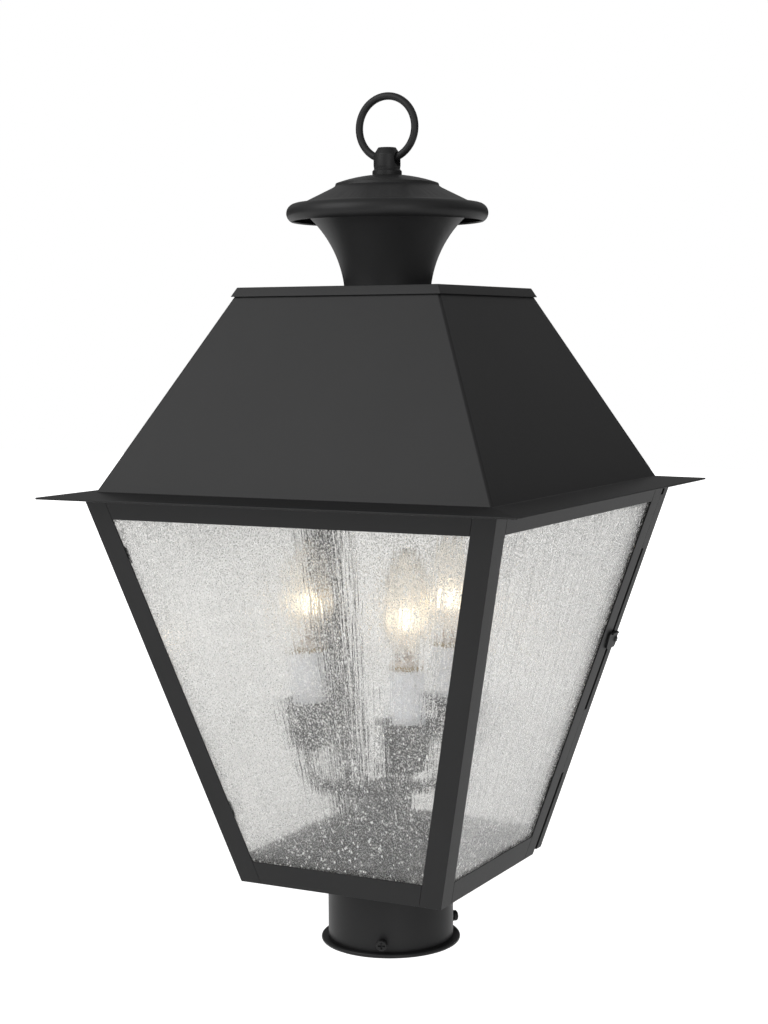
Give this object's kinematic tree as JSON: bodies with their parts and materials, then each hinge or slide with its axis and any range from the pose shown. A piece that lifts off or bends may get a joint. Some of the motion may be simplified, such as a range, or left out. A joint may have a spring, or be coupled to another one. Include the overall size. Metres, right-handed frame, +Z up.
{
  "type": "post top lantern",
  "caption": "Square tapered post-top lantern with glass panes, a hipped roof, a capped chimney with a lifting ring, a hinged back door and a cluster of candle lights inside.",
  "frame": {"origin": "on the post collar's axis, at the collar's lower face, where the lantern rests or goes over its post", "axes": "+Z up along the collar's axis; -Y is the front pane, +X the right pane, and the door is at the back (+Y)"},
  "size_m": [0.3204, 0.3204, 0.5485],
  "materials": {
    "black_paint": "satin powder coat, very finely textured",
    "plated_steel": "zinc plated",
    "seeded_glass": "clear with seeds and wavy drawn lines",
    "sleeve_ivory": "smooth matte candle sleeve",
    "socket_brass": "satin",
    "bulb_clear": "clear, lit from inside"
  },
  "bodies": {
    "lantern": {"post_collar": "black_paint", "plate_fasteners": "plated_steel", "bottom_plate": "black_paint", "corner_post_front_right": "black_paint", "corner_post_back_right": "black_paint", "corner_post_back_left": "black_paint", "corner_post_front_left": "black_paint", "bottom_rail_front": "black_paint", "bottom_rail_right": "black_paint", "bottom_rail_back": "black_paint", "bottom_rail_left": "black_paint", "top_rail_front": "black_paint", "top_rail_right": "black_paint", "top_rail_back": "black_paint", "top_rail_left": "black_paint", "glass_front": "seeded_glass", "glass_right": "seeded_glass", "glass_left": "seeded_glass", "glass_clips": "plated_steel", "roof_panel_front": "black_paint", "roof_panel_right": "black_paint", "roof_panel_back": "black_paint", "roof_panel_left": "black_paint", "roof_pan": "black_paint", "chimney_neck": "black_paint", "chimney_cap": "black_paint", "bridge_bar": "plated_steel", "cap_rod": "plated_steel", "rod_nuts": "plated_steel", "finial": "black_paint", "cluster_base": "black_paint", "cluster_column": "black_paint", "cluster_hub": "black_paint", "candle_arms": "black_paint", "candle_cups": "black_paint", "candle_sleeves": "sleeve_ivory", "bulb_sockets": "socket_brass", "hinge_leaves_cage": "black_paint", "hinge_pins": "plated_steel"},
    "door": {"hinge_leaves_door": "black_paint", "door_stile_hinge": "black_paint", "door_stile_latch": "black_paint", "door_rail_top": "black_paint", "door_rail_bottom": "black_paint", "glass_door": "seeded_glass", "door_clips": "plated_steel", "latch_rivet": "plated_steel"},
    "latch": {"latch": "black_paint"},
    "ring": {"ring": "black_paint"},
    "set_screw_a": {"set_screw_a": "black_paint"},
    "bulb_a": {"bulb_base_a": "socket_brass", "bulb_glass_a": "bulb_clear"},
    "set_screw_b": {"set_screw_b": "black_paint"},
    "bulb_b": {"bulb_base_b": "socket_brass", "bulb_glass_b": "bulb_clear"},
    "set_screw_c": {"set_screw_c": "black_paint"},
    "bulb_c": {"bulb_base_c": "socket_brass", "bulb_glass_c": "bulb_clear"}
  },
  "joints": [
    {"name": "door_hinge", "type": "hinge", "parent": "lantern", "child": "door", "pos_m": [-0.07375, 0.0731, 0.0468], "axis": [-0.2543, 0.2543, 0.9331], "range_deg": [0, 100]},
    {"name": "latch_turn", "type": "hinge", "parent": "door", "child": "latch", "pos_m": [0.11008, 0.11773, 0.1898], "axis": [0.9648, 0, -0.263], "range_deg": [0, 95]},
    {"name": "ring_swing", "type": "hinge", "parent": "lantern", "child": "ring", "pos_m": [0, 0, 0.50651], "axis": [1, 0, 0], "range_deg": [-105, 105]},
    {"name": "set_screw_a_turn", "type": "slide", "parent": "lantern", "child": "set_screw_a", "axis": [-0.342, 0.9397, 0], "range_m": [-0.0012, 0.0033]},
    {"name": "set_screw_b_turn", "type": "slide", "parent": "lantern", "child": "set_screw_b", "axis": [-0.6428, -0.766, 0], "range_m": [-0.0012, 0.0033]},
    {"name": "set_screw_c_turn", "type": "slide", "parent": "lantern", "child": "set_screw_c", "axis": [0.9848, -0.1736, 0], "range_m": [-0.0012, 0.0033]},
    {"name": "bulb_a_lift", "type": "slide", "parent": "lantern", "child": "bulb_a", "axis": [0, 0, 1], "range_m": [0, 0.025]},
    {"name": "bulb_b_lift", "type": "slide", "parent": "lantern", "child": "bulb_b", "axis": [0, 0, 1], "range_m": [0, 0.025]},
    {"name": "bulb_c_lift", "type": "slide", "parent": "lantern", "child": "bulb_c", "axis": [0, 0, 1], "range_m": [0, 0.025]}
  ]
}
